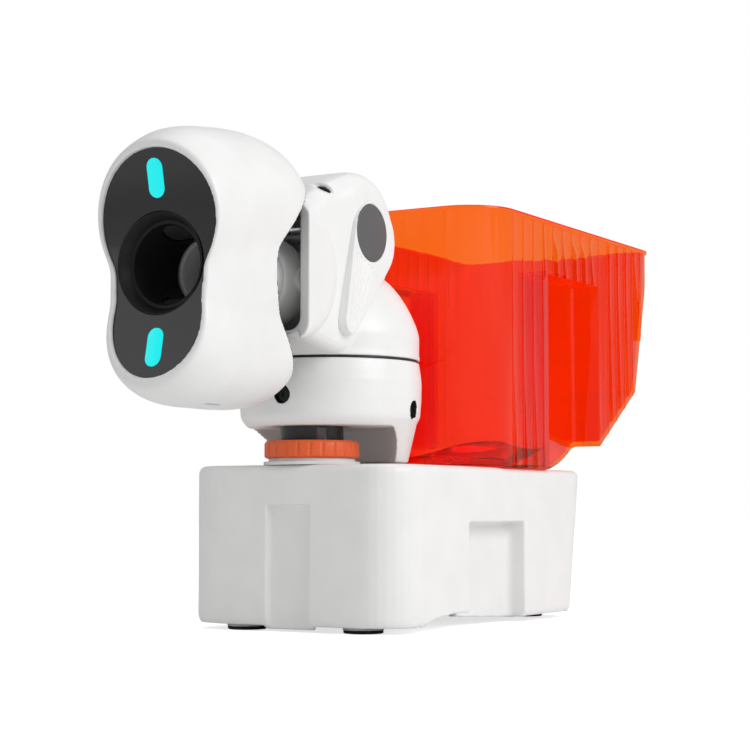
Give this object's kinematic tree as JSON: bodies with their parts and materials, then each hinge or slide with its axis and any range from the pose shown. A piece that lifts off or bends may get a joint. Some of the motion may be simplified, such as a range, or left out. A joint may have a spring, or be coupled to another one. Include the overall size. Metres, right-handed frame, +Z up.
{
  "type": "table tennis robot",
  "caption": "Table tennis robot: white base with a red ball hopper, and a twin-wheel throwing head on a swivelling, tilting and rolling neck.",
  "frame": {"origin": "on the table, under the middle of the robot's outline seen from above", "axes": "+Z up, -Y the way the nozzle throws, +X to the right of someone standing behind the robot"},
  "size_m": [0.1876, 0.6187, 0.3415],
  "materials": {
    "white_shell": "satin gloss",
    "inner_white": "matte",
    "black_plastic": "satin",
    "gloss_black": "high gloss",
    "stripe_grey": "matte",
    "orange_plastic": "satin",
    "red_clear": "clear tinted",
    "light_cyan": "glowing lens",
    "badge_grey": "satin",
    "tan_nylon": "matte nylon",
    "foot_rubber": "matte",
    "wheel_rubber": "matte grippy",
    "steel": "brushed",
    "black_steel": "blackened",
    "cell_blue": "sleeved",
    "board_green": "coated"
  },
  "bodies": {
    "base": {"base_shell": "white_shell", "base_floor": "inner_white", "foot_front_left": "foot_rubber", "foot_front_right": "foot_rubber", "foot_rear_left": "foot_rubber", "foot_rear_right": "foot_rubber", "battery_pack": "cell_blue", "control_board": "board_green", "feed_motor": "steel", "feed_bowl": "inner_white", "feed_elbow": "inner_white", "feed_stem": "black_plastic", "stem_stripe": "stripe_grey", "stem_flange": "inner_white", "yaw_gear": "tan_nylon", "charge_socket": "black_plastic", "floor_screws": "steel"},
    "button": {"power_button": "orange_plastic"},
    "ring": {"lock_ring": "orange_plastic"},
    "feeder": {"feed_disc": "orange_plastic"},
    "hopper_bin": {"hopper": "red_clear", "hopper_ramp": "red_clear"},
    "turret": {"turret_lower": "white_shell", "seam_gasket": "black_plastic", "turret_upper": "white_shell", "ear_left": "white_shell", "ear_right": "white_shell", "badge_left": "badge_grey", "badge_right": "badge_grey", "port_screws": "black_steel", "stem_bearing": "tan_nylon", "ball_elbow": "inner_white", "yaw_motor": "steel", "tilt_motor": "steel"},
    "yaw_drive": {"yaw_pinion": "black_plastic"},
    "tilt_carrier": {"tilt_ball": "white_shell", "tilt_gear": "tan_nylon", "head_sleeve": "inner_white", "roll_motor": "steel"},
    "tilt_drive": {"tilt_pinion": "black_plastic"},
    "head": {"head_collar": "inner_white", "head_shell": "white_shell", "face_plate": "gloss_black", "nozzle_ring": "black_plastic", "light_upper": "light_cyan", "light_lower": "light_cyan", "wheel_motor_upper": "steel", "wheel_motor_lower": "steel"},
    "roll_drive": {"roll_pinion": "black_plastic"},
    "upper_wheel": {"wheel_hub_upper": "stripe_grey", "wheel_tyre_upper": "wheel_rubber"},
    "lower_wheel": {"wheel_hub_lower": "stripe_grey", "wheel_tyre_lower": "wheel_rubber"}
  },
  "joints": [
    {"name": "power_press", "type": "slide", "parent": "base", "child": "button", "axis": [0, -1, 0], "range_m": [0, 0.0015], "stiffness_N_per_m": 400},
    {"name": "lock_turn", "type": "hinge", "parent": "base", "child": "ring", "pos_m": [0, -0.11282, 0.129], "axis": [0, 0, 1], "range_deg": [0, 45]},
    {"name": "feed_spin", "type": "hinge", "parent": "base", "child": "feeder", "pos_m": [0, 0.06058, 0.06], "axis": [0, 0, 1], "continuous": true},
    {"name": "hopper_lift", "type": "slide", "parent": "base", "child": "hopper_bin", "axis": [0, 0, 1], "range_m": [0, 0.12]},
    {"name": "yaw", "type": "hinge", "parent": "base", "child": "turret", "pos_m": [0, -0.11282, 0.15], "axis": [0, 0, 1], "range_deg": [-32, 32]},
    {"name": "yaw_pinion_spin", "type": "hinge", "parent": "turret", "child": "yaw_drive", "pos_m": [0, -0.07282, 0.155], "axis": [0, 0, 1], "range_deg": [-96, 96]},
    {"name": "tilt", "type": "hinge", "parent": "turret", "child": "tilt_carrier", "pos_m": [0, -0.17542, 0.244], "axis": [1, 0, 0], "range_deg": [-18, 12]},
    {"name": "tilt_pinion_spin", "type": "hinge", "parent": "turret", "child": "tilt_drive", "pos_m": [-0.036, -0.15542, 0.27864], "axis": [1, 0, 0], "range_deg": [-54, 54]},
    {"name": "roll", "type": "hinge", "parent": "tilt_carrier", "child": "head", "pos_m": [0, -0.22042, 0.244], "axis": [0, 1, 0], "range_deg": [-90, 90]},
    {"name": "roll_pinion_spin", "type": "hinge", "parent": "tilt_carrier", "child": "roll_drive", "pos_m": [0, -0.21742, 0.28275], "axis": [0, 1, 0], "range_deg": [-376, 376]},
    {"name": "upper_wheel_spin", "type": "hinge", "parent": "head", "child": "upper_wheel", "pos_m": [0, -0.26592, 0.2935], "axis": [1, 0, 0], "continuous": true},
    {"name": "lower_wheel_spin", "type": "hinge", "parent": "head", "child": "lower_wheel", "pos_m": [0, -0.26592, 0.1945], "axis": [1, 0, 0], "continuous": true}
  ],
  "couplings": [
    {"joint": "yaw_pinion_spin", "follows": "yaw", "ratio": 3},
    {"joint": "tilt_pinion_spin", "follows": "tilt", "ratio": -3},
    {"joint": "roll_pinion_spin", "follows": "roll", "ratio": -4.1667}
  ]
}
